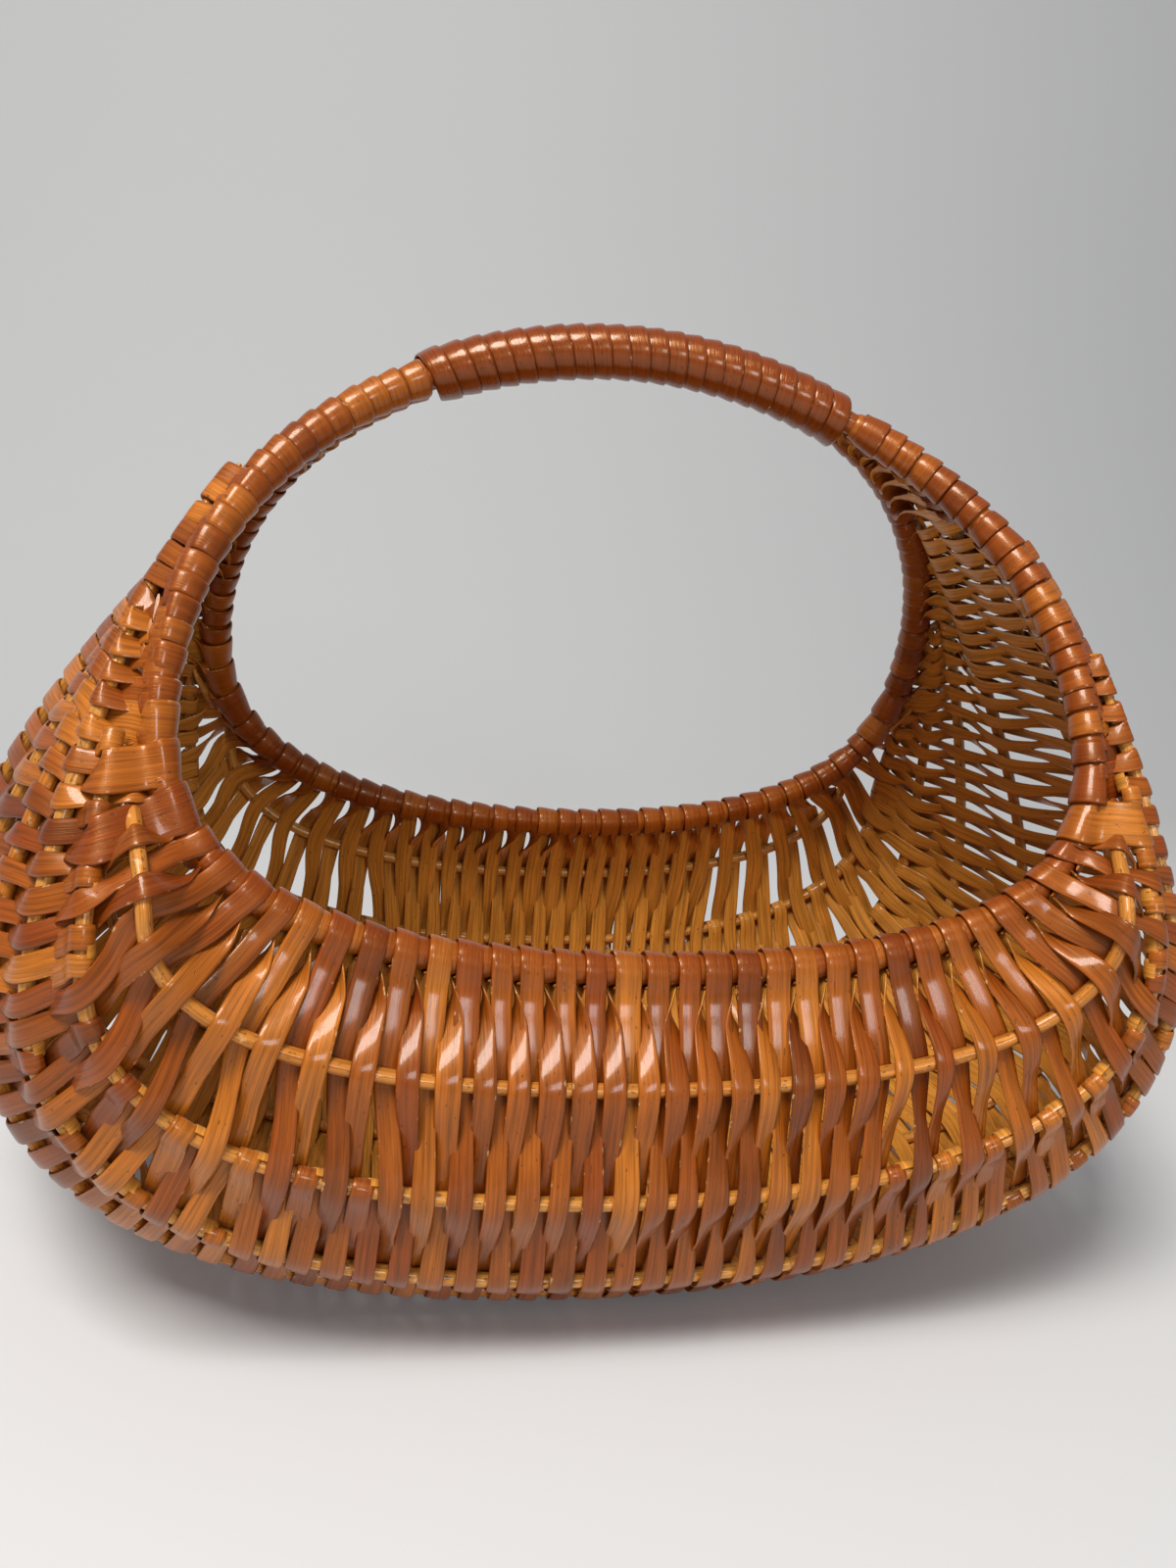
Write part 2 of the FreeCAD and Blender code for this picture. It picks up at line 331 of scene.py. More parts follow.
def run_lengths(points):
    """Length along a line of points, at each of them."""
    spans = np.linalg.norm(np.diff(points, axis=0), axis=1)
    return np.concatenate(([0.0], np.cumsum(spans)))


def mix(a, b, share):
    return a * (1 - share) + b * share


def bezier(p0, p1, p2, p3, t):
    s = 1 - t
    return p0 * s**3 + p1 * (3 * s * s * t) + p2 * (3 * s * t * t) + p3 * t**3


def mirrored(p, across_x=False, across_y=False):
    return p * np.array([-1.0 if across_x else 1.0, -1.0 if across_y else 1.0, 1.0])


def point(x, y, z):
    return np.array([x, y, z], float)


def gathered(p):
    """The rims are drawn together where the grip binds them."""
    q = (grip_height - p[2]) / gather_drop
    share = q * q / (1 + q * q)
    return point(p[0], -grip_half_gap + (p[1] + grip_half_gap) * share, p[2])


def rim_point(g):
    """Front rim, right half: 0 at the mouth, 1 at the shoulder, 2 at the grip."""
    low = point(0, -mouth_half_depth, mouth_height)
    wide = point(rim_half_length, -shoulder_half_depth, shoulder_height)
    top = point(0, -grip_half_gap, grip_height)
    lean = point(0, top[1] - low[1], top[2] - low[2]) / (top[2] - low[2])
    out = along_basket * rim_half_length
    if g < 1:
        rise = lean * mouth_roundness * (wide[2] - low[2])
        return gathered(bezier(low, low + out * mouth_roundness, wide - rise, wide, g))
    rise = lean * arch_roundness * (top[2] - wide[2])
    return gathered(bezier(wide, wide + rise, top + out * arch_flatness, top, g - 1))


class Rod:
    """Right half of a front rod: points from the middle plane to its end, by length.

    A skein that leaves the rim past the length rim_limit doesn't reach the rod.
    """

    def __init__(self, points, radius, rim_limit=math.inf):
        self.points = np.array(points)
        self.radius = radius
        self.rim_limit = rim_limit
        self.lengths = run_lengths(self.points)
        self.woven_length = self.lengths[-1]
        self.fan = 0.0 if rim_limit == math.inf else self.woven_length - rim_limit

    def at_length(self, s):
        """Place at length s; past the end it goes straight on."""
        i = min(max(int(np.searchsorted(self.lengths, s)), 1), len(self.points) - 1)
        t = (s - self.lengths[i - 1]) / (self.lengths[i] - self.lengths[i - 1])
        return mix(self.points[i - 1], self.points[i], t)

    def fanned(self, s):
        """Length along this rod at which a skein crosses that leaves the rim at length s.

        The skeins run side by side under the mouth, fan out round the corner and run side by side
        again up the end.
        """
        return s + self.fan / (1 + math.exp((fan_place - s) / fan_reach))


def middle_profile():
    """Places across the middle of the body, from the rim to the keel, evenly spaced."""
    lift = mouth_height - belly_height
    high = lift / math.sqrt(1 - (mouth_half_depth / belly_half_depth) ** 2)
    start = math.asin(lift / high)
    line = []
    for i in range(profile_steps):
        a = start * (1 - i / profile_steps)
        line.append(point(0, -belly_half_depth * math.cos(a), belly_height + high * math.sin(a)))
    drop = belly_height - keel_height
    inward = belly_half_depth - base_flat_half_depth
    power = 2 / belly_squareness
    for i in range(profile_steps + 1):
        a = math.pi / 2 * i / profile_steps
        y = base_flat_half_depth + inward * max(math.cos(a), 0.0) ** power
        line.append(point(0, -y, belly_height - drop * math.sin(a) ** power))
    line.append(point(0, 0, keel_height))
    path = Rod(line, 0)
    return [path.at_length(path.woven_length * k / middle_rod) for k in range(middle_rod + 1)]


def rim_rod():
    points = [rim_point(i / curve_samples) for i in range(2 * curve_samples + 1)]
    rod = Rod(points, rim_radius)
    rod.woven_length = max(s for s, p in zip(rod.lengths, points) if p[0] >= grip_half_length)
    return rod


def rib_rod(k, low, rim):
    """Right half of the front rib k, whose middle is at low."""
    inner = (middle_rod - k) / middle_rod
    wide = point(end_half_length - end_step * (middle_rod - k),
                 -end_half_depth * (1 - (k / middle_rod) ** 3),
                 end_height + end_rise * inner**2)
    if k < middle_rod:
        g = rib_end_positions[k - 1]
        seat = rim_point(g)
        along = unit(rim_point(g + small_step) - seat)
        outward = unit(point(along[2], 0, -along[0]))
        end = seat + outward * rib_end_stand_offs[k - 1] + across_basket * rib_end_tuck
    else:
        seat = rim.at_length(rim.woven_length)
        along = rim.at_length(rim.woven_length + rim_radius) - seat
        along = unit(point(along[0], 0, along[2]))
        end = point(seat[0], 0, seat[2]) + point(along[2], 0, -along[0]) * keel_tip_gap
    rise = point(0, wide[1] - low[1], wide[2] - low[2])
    slack = rib_slack * np.linalg.norm(end - wide)
    lower = (low, low + along_basket * (rib_roundness * wide[0]), wide - rise * rib_roundness, wide)
    upper = (wide, wide + unit(rise) * slack, end - along * slack, end)
    n = curve_samples
    points = [bezier(*lower, i / n) for i in range(n)] + [bezier(*upper, i / n) for i in range(n + 1)]
    return Rod(points, rib_radius, rim.woven_length)


def shortened(rib, below, rim):
    """The rib, cut where it would come too near the rib below it or the rim."""
    near = np.concatenate((below.points, rim.points))

    def stands_clear(p):
        return np.linalg.norm(near - p, axis=1).min() >= rib_tip_spacing
    points = list(itertools.takewhile(stands_clear, rib.points))
    nearest = np.linalg.norm(rim.points - points[-1], axis=1).argmin()
    return Rod(points, rib.radius, rim.lengths[nearest])


def all_rods():
    rim = rim_rod()
    profile = middle_profile()
    ribs = [rib_rod(middle_rod, profile[middle_rod], rim)]
    for k in range(middle_rod - 1, 0, -1):
        ribs.insert(0, shortened(rib_rod(k, profile[k], rim), ribs[0], rim))
    return [rim] + ribs


rods = all_rods()


def rod_of(k):
    return rods[min(k, last_rod - k)]


def rod_place(k, s):
    """Centre of rod k at length s from the middle, negative to the left.

    Rods past the middle one are at the back.
    """
    return mirrored(rod_of(k).at_length(abs(s)), across_x=s < 0, across_y=k > middle_rod)


def rod_direction(k, s):
    return unit(rod_place(k, s + direction_step) - rod_place(k, s - direction_step))


def pair_pitch(s):
    return np.interp(s, [arch_start - arch_blend, arch_start], [pair_pitch_front, pair_pitch_arch])


def rim_pitch(s):
    return shoulder_pitch if shoulder_start < s < shoulder_end else pair_pitch(s)


def pair_leaves():
    """Lengths along the rim at which pairs of skeins leave it.

    They are close enough for the rod on which they lie widest. The first stands half a pitch from
    the middle.
    """
    leaves = []
    due = 1 / 2
    for s in np.arange(0.0, rods[0].woven_length * weave_reach, pitch_step):
        rate = 1 / rim_pitch(s)
        for rod in rods[1:]:
            if s < rod.rim_limit:
                step_on_rib = rod.fanned(s + pitch_step) - rod.fanned(s)
                rate = max(rate, step_on_rib / pitch_step / pair_pitch_ribs)
        due -= rate * pitch_step
        if due < 0:
            due += 1
            leaves.append(s)
    return leaves


def pair_crossings():
    """For each pair on the right half, the front rods it crosses and where.

    As many pairs as have room start at the rim. The others start at the first of the start rods on
    which there is room between their neighbours.
    """
    waiting = pair_leaves()
    pairs = []
    for k in start_rods:
        rod = rods[k]
        placed = [pair[k] for pair in pairs if k in pair]
        for s in list(waiting):
            least = least_share_on_ribs * pair_pitch(s) if k else least_share_on_rim * rim_pitch(s)
            spot = rod.fanned(s)
            before = max((p for p in placed if p <= spot), default=spot - least)
            after = min((p for p in placed if p > spot), default=2 * spot - before)
            if s >= rod.rim_limit or after - before < 2 * least:
                continue
            placed.append(spot)
            reached = [m for m in range(k, len(rods)) if s < rods[m].rim_limit]
            pairs.append({m: rods[m].fanned(s) for m in reached})
            waiting.remove(s)
    return sorted(pairs, key=lambda pair: pair[middle_rod])


class Skein:
    """One skein: where it crosses the front rods, its side of the even ones, and its ends' breadth."""

    def __init__(self, number, lengths, side, breadth):
        self.number = number
        self.lengths = lengths
        self.side = side
        self.breadth = breadth
        front = sorted(lengths)
        self.crossed = front + [last_rod - k for k in reversed(front[:-1])]

    def hand(self, k):
        return self.side if k % 2 == 0 else -self.side

    def length(self, k):
        return self.lengths[min(k, last_rod - k)]


def all_skeins():
    """Both halves' skeins.

    On every rod the two of a pair stand a quarter of the way to the next pairs. The broad ones at
    the shoulders pass by the first rib, whose tip they bind.
    """
    pairs = pair_crossings()
    near = [{} for _ in pairs]
    far = [{} for _ in pairs]
    for k in range(len(rods)):
        rows = [i for i, pair in enumerate(pairs) if k in pair]
        spots = np.array([pairs[i][k] for i in rows])
        for _ in range(even_rounds):
            spots[1:-1] = (spots[:-2] + 2 * spots[1:-1] + spots[2:]) / 4
        spots = [-spots[0], *spots, 2 * spots[-1] - spots[-2]]
        for i, before, here, after in zip(rows, spots, spots[1:], spots[2:]):
            near[i][k] = here - (here - before) / 4
            far[i][k] = here + (after - here) / 4
    skeins = []
    for half in (1, -1):
        for nearer, lengths in ((True, near), (False, far)):
            side = half if nearer else -half
            for row in lengths:
                bound = side > 0 and shoulder_start < row.get(0, 0.0) < shoulder_end
                spots = {k: half * s for k, s in row.items() if not (bound and k == first_rib)}
                skeins.append(Skein(len(skeins), spots, side, shoulder_breadth if bound else 1.0))
    return skeins


def zone_of(skein):
    """Zone of the weave in which a skein's keel crossing lies."""
    keel = rods[middle_rod]
    share = skein.lengths[middle_rod] / keel.woven_length / weave_reach
    return min(max(int((share + 1) / 2 * len(zones)), 0), len(zones) - 1)


def smooth(knots, rows, samples):
    """Natural cubic curve through rows at knots, read at samples."""
    n = len(knots)
    h = np.diff(knots)
    system = np.eye(n)
    right = np.zeros_like(rows)
    for i in range(1, n - 1):
        system[i, i - 1:i + 2] = h[i - 1], 2 * (h[i - 1] + h[i]), h[i]
        right[i] = 6 * ((rows[i + 1] - rows[i]) / h[i] - (rows[i] - rows[i - 1]) / h[i - 1])
    bend = np.linalg.solve(system, right)
    i = np.clip(np.searchsorted(knots, samples, side="right") - 1, 0, n - 2)
    a = (knots[i + 1] - samples)[:, None]
    b = (samples - knots[i])[:, None]
    w = h[i][:, None]
    curve = (bend[i] * a**3 + bend[i + 1] * b**3) / (6 * w)
    return curve + (rows[i] / w - bend[i] * w / 6) * a + (rows[i + 1] / w - bend[i + 1] * w / 6) * b


class Path:
    """One swept piece: its centre line, half-width and half-thickness vectors, and what its finish reads."""

    def __init__(self, centre, across, thick, tone, polish):
        self.centre = centre
        self.across = across
        self.thick = thick
        self.tone = np.full(len(centre), tone)
        self.polish = polish
        self.along = run_lengths(centre)


class SkeinKeys:
    """Places that a skein passes through, with its width, normal, roll and polish at each."""

    def __init__(self):
        self.centres = []
        self.acrosses = []
        self.normals = []
        self.rolls = []
        self.polishes = []

    def add(self, centre, across, normal, roll, polish):
        self.centres.append(centre)
        self.acrosses.append(across)
        self.normals.append(normal)
        self.rolls.append([roll])
        self.polishes.append([polish])

    def path(self, half_thickness, tone):
        knots = run_lengths(self.centres)
        marks = np.arange((len(knots) - 1) * samples_per_key + 1) / samples_per_key
        samples = np.interp(marks, np.arange(len(knots)), knots)

        def straight(rows):
            return np.array([np.interp(samples, knots, column) for column in zip(*rows)]).T

        centre = smooth(knots, np.array(self.centres), samples)
        across = straight(self.acrosses)
        roll = straight(self.rolls)
        width = np.linalg.norm(across, axis=1)[:, None]
        forward = unit_rows(np.gradient(centre, axis=0))
        side = unit_rows(across - forward * (across * forward).sum(1)[:, None])
        up = np.cross(side, forward)
        up *= np.sign((up * straight(self.normals)).sum(1))[:, None]
        turned_side = side * np.cos(roll) + up * np.sin(roll)
        turned_up = up * np.cos(roll) - side * np.sin(roll)
        polish = straight(self.polishes).ravel()
        return Path(centre, turned_side * width, turned_up * half_thickness, tone, polish)


def skein_path(skein, weave):
    """Line of a skein from the front to the back."""
    rng = np.random.default_rng((weave.seed, skein.number))
    uneven = weave.unevenness
    crossed = skein.crossed
    last = len(crossed) - 1
    crosses_rim = crossed[0] == 0
    twisted = crosses_rim and skein.side < 0
    half_thickness = weave.thickness / mm / 2
    spots = [skein.length(k) + rng.normal(0, place_spread * uneven) for k in crossed]
    places = [rod_place(k, s) for k, s in zip(crossed, spots)]
    alongs = [rod_direction(k, s) for k, s in zip(crossed, spots)]
    breadth = 1 + rng.normal(0, width_spread) * uneven
    normals = []
    breadths = []
    for i, along in enumerate(alongs):
        onward = places[min(i + 1, last)] - places[max(i - 1, 0)]
        normals.append(unit(np.cross(onward, along)))
        near_end = min(i, last - i) < bound_crossings
        breadths.append(breadth * (skein.breadth if near_end else 1.0))
    to_middle = -1 if spots[0] > 0 else 1
    twist = to_middle * math.pi
    leans = to_middle * weave.lean * (1 + rng.normal(0, lean_spread * uneven, last + 1))
    keys = SkeinKeys()

    def across(i, width):
        return alongs[i] * (width / mm / 2 * breadths[i])

    def end_turn(i):
        """Turn over the rod at either end, from the tucked tip.

        On a rim the outside skeins' turns lie over the inside ones'.
        """
        k = crossed[i]
        hand = skein.hand(k)
        n = normals[i]
        over = np.cross(n, alongs[i]) if i == 0 else np.cross(alongs[i], n)
        reach = rod_of(k).radius + half_thickness + rim_gap
        turn = weave.turn if crosses_rim else fold_turn
        width = weave.width_on_rim if crosses_rim else weave.width_between
        roll = 0.0
        if crosses_rim and hand < 0:
            roll = twist + weave.lap
        elif crosses_rim:
            roll = -weave.lap
            reach += 2 * half_thickness
        polish = float(crosses_rim)
        rows = []
        for step in range(rim_turn_steps + 1):
            a = turn * (1 - step / rim_turn_steps)
            radial = n * (hand * math.cos(a)) + over * math.sin(a)
            rows.append((places[i] + radial * reach, across(i, width), radial * hand, roll, polish))
        return rows

    def between(i, share, width, roll):
        """Place in the gap after rod i."""
        n = unit(mix(normals[i], normals[i + 1], share))
        offs = [skein.hand(crossed[j]) * rod_of(crossed[j]).radius for j in (i, i + 1)]
        p = mix(places[i], places[i + 1], share) + n * mix(*offs, share)
        keys.add(p, mix(across(i, width), across(i + 1, width), share), n, roll, 0.0)

    for i, k in enumerate(crossed):
        if i in (0, last):
            for row in end_turn(i) if i == 0 else reversed(end_turn(i)):
                keys.add(*row)
        else:
            reach = rod_of(k).radius + half_thickness + rib_gap
            passing = places[i] + normals[i] * (skein.hand(k) * reach)
            keys.add(passing, across(i, weave.width), normals[i], 0.0, 0.0)
        if i == last:
            break
        if i not in (0, last - 1):
            between(i, 1 / 2, weave.width_between, leans[i])
        elif i == 0:
            for share, turn in twist_shares:
                between(i, share, weave.width, twist * turn if twisted else 0.0)
        else:
            for share, turn in reversed(twist_shares):
                between(i, 1 - share, weave.width, twist * turn if twisted else 0.0)
    return keys.path(half_thickness, rng.random())


def rod_path(k, uneven, tone):
    """Whole rod k, from its left end to its right end, a little uneven in thickness."""
    rng = np.random.default_rng(k)
    rod = rod_of(k)
    length = rod.lengths[-1] - (grip_clearance if rod is rods[0] else 0.0)
    marks = np.linspace(0.0, length, rod_samples // 2)
    right = np.array([rod.at_length(s) for s in marks])
    centre = np.concatenate((mirrored(right[:0:-1], across_x=True), right))
    centre = mirrored(centre, across_y=k > middle_rod)
    forward = unit_rows(np.gradient(centre, axis=0))
    side = unit_rows(across_basket - forward * forward[:, 1:2])
    up = np.cross(forward, side)
    turns = np.arange(len(centre)) / len(centre) * 2 * math.pi
    swell = np.ones(len(centre))
    for wave in swell_waves:
        swell += swell_share * uneven * np.sin(turns * wave + rng.random() * 2 * math.pi)
    if rod is not rods[0]:
        to_tip = length - np.abs(np.concatenate((-marks[:0:-1], marks)))
        swell *= np.interp(to_tip, [0.0, tip_taper_length], [tip_taper, 1.0])
    radius = rod.radius * swell[:, None]
    return Path(centre, side * radius, up * radius, tone, np.zeros(len(centre)))


def grip_spine(x):
    """Middle of the bundle at x along the grip, its half depth and its direction."""
    rim = rods[0]
    low = rim.woven_length
    high = rim.lengths[-1]
    for _ in range(halvings):
        mid = (low + high) / 2
        if rim.at_length(mid)[0] > abs(x):
            low = mid
        else:
            high = mid
    p = rim.at_length(low)
    t = rim.at_length(low - direction_step) - rim.at_length(min(low + direction_step, rim.lengths[-1]))
    t = unit(point(t[0], 0, t[2]))
    if x < 0:
        t = point(t[0], 0, -t[2])
    return point(x, 0, p[2]), abs(p[1]), t


def wrap_path(weave):
    """The skein wound round the grip, each turn lapping over the one before it."""
    rng = np.random.default_rng(weave.seed)
    reach = rim_radius + filler_diameter / 2 + grip_clearance
    half_rise = math.sqrt(reach**2 - grip_half_gap**2) + filler_diameter / 2 + wrap_clearance
    pitch = 2 * grip_half_length / wrap_turns
    span = grip_half_length - pitch / 2
    half_thickness = weave.thickness / mm / 2
    steps = wrap_turns * wrap_turn_samples
    turn_widths = 1 + rng.normal(0, wrap_width_spread * weave.unevenness, wrap_turns + 2)
    centre = []
    across = []
    thick = []
    for i in range(steps + 1):
        turn = i / wrap_turn_samples
        x = span * (2 * i / steps - 1)
        angle = 2 * math.pi * turn
        spine, half_gap, t = grip_spine(x)
        rise = point(-t[2], 0, t[0])
        half_depth = half_gap + rim_radius + wrap_clearance
        normal = unit(across_basket * (math.cos(angle) / half_depth) + rise * (math.sin(angle) / half_rise))
        ring = spine + across_basket * (half_depth * math.cos(angle)) + rise * (half_rise * math.sin(angle))
        wide = pitch / 2 * weave.grip_cover * np.interp(turn, np.arange(len(turn_widths)), turn_widths)
        centre.append(ring + normal * half_thickness)
        across.append((t * math.cos(weave.lap) + normal * math.sin(weave.lap)) * wide)
        thick.append((normal * math.cos(weave.lap) - t * math.sin(weave.lap)) * half_thickness)
    return Path(np.array(centre), np.array(across), np.array(thick), wrap_tone, np.ones(len(centre)))


def add_node(tree, kind, **settings):
    made = tree.nodes.new(kind)
    for name, value in settings.items():
        setattr(made, name, value)
    return made


def set_inputs(made, **values):
    for name, value in values.items():
        made.inputs[name.replace("_", " ")].default_value = value
    return made


def named(tree, name, kind):
    made = add_node(tree, "GeometryNodeInputNamedAttribute", data_type=kind)
    made.inputs["Name"].default_value = name
    return made.outputs["Attribute"]


def store(tree, geometry, name, kind, value):
    made = add_node(tree, "GeometryNodeStoreNamedAttribute", data_type=kind, domain="POINT")
    made.inputs["Name"].default_value = name
    tree.links.new(geometry, made.inputs["Geometry"])
    tree.links.new(value, made.inputs["Value"])
    return made.outputs["Geometry"]


def maths(tree, operation, first, second=None):
    """Math node on sockets or plain numbers."""
    made = add_node(tree, "ShaderNodeMath", operation=operation)
    for socket, value in zip(made.inputs, (first, second)):
        if isinstance(value, (int, float)):
            socket.default_value = value
        elif value is not None:
            tree.links.new(value, socket)
    return made.outputs[0]


def vector_maths(tree, operation, first, second):
    """Vector Math node on sockets or plain vectors; a scale takes a number second."""
    made = add_node(tree, "ShaderNodeVectorMath", operation=operation)
    ends = (made.inputs[0], made.inputs["Scale"] if operation == "SCALE" else made.inputs[1])
    for socket, value in zip(ends, (first, second)):
        if isinstance(value, bpy.types.NodeSocket):
            tree.links.new(value, socket)
        else:
            socket.default_value = value
    return made.outputs["Value" if operation == "LENGTH" else "Vector"]


def sweep_tree():
    """Geometry nodes that sweep a rounded section along paths, by each point's half-width and thickness."""
    tree = bpy.data.node_groups.new("Basket Sweep", "GeometryNodeTree")
    face = tree.interface
    face.new_socket("Geometry", in_out="INPUT", socket_type="NodeSocketGeometry")
    sides = face.new_socket("Sides", in_out="INPUT", socket_type="NodeSocketInt")
    sides.description = "Corners of the section"
    square = face.new_socket("Squareness", in_out="INPUT", socket_type="NodeSocketFloat")
    square.description = "Power that flattens the section: 1 is an ellipse, less is squarer"
    ground = face.new_socket("Standing Height", in_out="INPUT", socket_type="NodeSocketFloat")
    ground.description = "Height below which the piece is worn flat"
    face.new_socket("Material", in_out="INPUT", socket_type="NodeSocketMaterial")
    face.new_socket("Geometry", in_out="OUTPUT", socket_type="NodeSocketGeometry")
    given = add_node(tree, "NodeGroupInput")
    link = tree.links.new

    lines = add_node(tree, "GeometryNodeMeshToCurve")
    link(given.outputs["Geometry"], lines.inputs["Mesh"])
    position = add_node(tree, "GeometryNodeInputPosition")
    rail = store(tree, lines.outputs["Curve"], "centre", "FLOAT_VECTOR", position.outputs["Position"])

    circle = add_node(tree, "GeometryNodeCurvePrimitiveCircle", mode="RADIUS")
    circle.inputs["Radius"].default_value = 1.0
    link(given.outputs["Sides"], circle.inputs["Resolution"])
    corner = add_node(tree, "ShaderNodeSeparateXYZ")
    link(position.outputs["Position"], corner.inputs["Vector"])
    flat = add_node(tree, "ShaderNodeCombineXYZ")
    for axis in ("X", "Y"):
        size = maths(tree, "ABSOLUTE", corner.outputs[axis])
        size = maths(tree, "POWER", size, given.outputs["Squareness"])
        link(maths(tree, "MULTIPLY", size, maths(tree, "SIGN", corner.outputs[axis])), flat.inputs[axis])
    section = store(tree, circle.outputs["Curve"], "section", "FLOAT_VECTOR", flat.outputs["Vector"])

    swept = add_node(tree, "GeometryNodeCurveToMesh")
    swept.inputs["Fill Caps"].default_value = True
    link(rail, swept.inputs["Curve"])
    link(section, swept.inputs["Profile Curve"])
    part = add_node(tree, "ShaderNodeSeparateXYZ")
    link(named(tree, "section", "FLOAT_VECTOR"), part.inputs["Vector"])
    sideways = vector_maths(tree, "SCALE", named(tree, "across", "FLOAT_VECTOR"), part.outputs["X"])
    upwards = vector_maths(tree, "SCALE", named(tree, "thick", "FLOAT_VECTOR"), part.outputs["Y"])
    off = vector_maths(tree, "ADD", sideways, upwards)
    spot = vector_maths(tree, "ADD", named(tree, "centre", "FLOAT_VECTOR"), off)
    worn = add_node(tree, "ShaderNodeSeparateXYZ")
    link(spot, worn.inputs["Vector"])
    resting = add_node(tree, "ShaderNodeCombineXYZ")
    link(worn.outputs["X"], resting.inputs["X"])
    link(worn.outputs["Y"], resting.inputs["Y"])
    link(maths(tree, "MAXIMUM", worn.outputs["Z"], given.outputs["Standing Height"]), resting.inputs["Z"])
    placed = add_node(tree, "GeometryNodeSetPosition")
    link(swept.outputs["Mesh"], placed.inputs["Geometry"])
    link(resting.outputs["Vector"], placed.inputs["Position"])

    grain = add_node(tree, "ShaderNodeCombineXYZ")
    half_width = vector_maths(tree, "LENGTH", named(tree, "across", "FLOAT_VECTOR"), (0.0, 0.0, 0.0))
    half_height = vector_maths(tree, "LENGTH", named(tree, "thick", "FLOAT_VECTOR"), (0.0, 0.0, 0.0))
    link(named(tree, "along", "FLOAT"), grain.inputs["X"])
    link(maths(tree, "MULTIPLY", half_width, part.outputs["X"]), grain.inputs["Y"])
    link(maths(tree, "MULTIPLY", half_height, part.outputs["Y"]), grain.inputs["Z"])
    marked = store(tree, placed.outputs["Geometry"], "grain", "FLOAT_VECTOR", grain.outputs["Vector"])

    shaded = add_node(tree, "GeometryNodeSetShadeSmooth")
    link(marked, shaded.inputs["Geometry"])
    whole = add_node(tree, "GeometryNodeRealizeInstances")
    link(shaded.outputs["Geometry"], whole.inputs["Geometry"])
    finished = add_node(tree, "GeometryNodeSetMaterial")
    link(whole.outputs["Geometry"], finished.inputs["Geometry"])
    link(given.outputs["Material"], finished.inputs["Material"])
    result = add_node(tree, "NodeGroupOutput")
    link(finished.outputs["Geometry"], result.inputs["Geometry"])
    return tree


def swept_piece(name, paths, sides, squareness, material):
    """Mesh object swept along paths by the geometry nodes."""
    tree = bpy.data.node_groups.get("Basket Sweep") or sweep_tree()
    line = bpy.data.meshes.new(name)
    edges = []
    count = 0
    for path in paths:
        edges += [(count + i, count + i + 1) for i in range(len(path.centre) - 1)]
        count += len(path.centre)
    line.from_pydata((np.concatenate([p.centre for p in paths]) * mm).tolist(), edges, [])
    for word in ("across", "thick"):
        rows = np.concatenate([getattr(p, word) for p in paths]) * mm
        line.attributes.new(word, "FLOAT_VECTOR", "POINT").data.foreach_set("vector", rows.ravel())
    for word, scale in (("along", mm), ("tone", 1.0), ("polish", 1.0)):
        values = np.concatenate([getattr(p, word) for p in paths]) * scale
        line.attributes.new(word, "FLOAT", "POINT").data.foreach_set("value", values)
    piece = bpy.data.objects.new(name, line)
    bpy.context.scene.collection.objects.link(piece)
    sweep = piece.modifiers.new("Sweep", "NODES")
    sweep.node_group = tree
    values = {"Sides": sides, "Squareness": squareness, "Standing Height": 0.0, "Material": material}
    for item in tree.interface.items_tree:
        if item.in_out == "INPUT" and item.name in values:
            sweep[item.identifier] = values[item.name]
    bpy.context.view_layer.update()
    graph = bpy.context.evaluated_depsgraph_get()
    shaped = piece.evaluated_get(graph)
    made = bpy.data.meshes.new_from_object(shaped, preserve_all_data_layers=True, depsgraph=graph)
    piece.modifiers.clear()
    piece.data = made
    bpy.data.meshes.remove(line)
    made.name = name
    for word in ("centre", "across", "thick"):
        made.attributes.remove(made.attributes[word])
    shell = bmesh.new()
    shell.from_mesh(made)
    bmesh.ops.recalc_face_normals(shell, faces=shell.faces)
    shell.to_mesh(made)
    shell.free()
    return piece


def hand_over(piece, slot, *nodes):
    """The piece rides on the part's one body and stands for these nodes."""
    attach(piece, "root")
    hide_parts(*nodes)


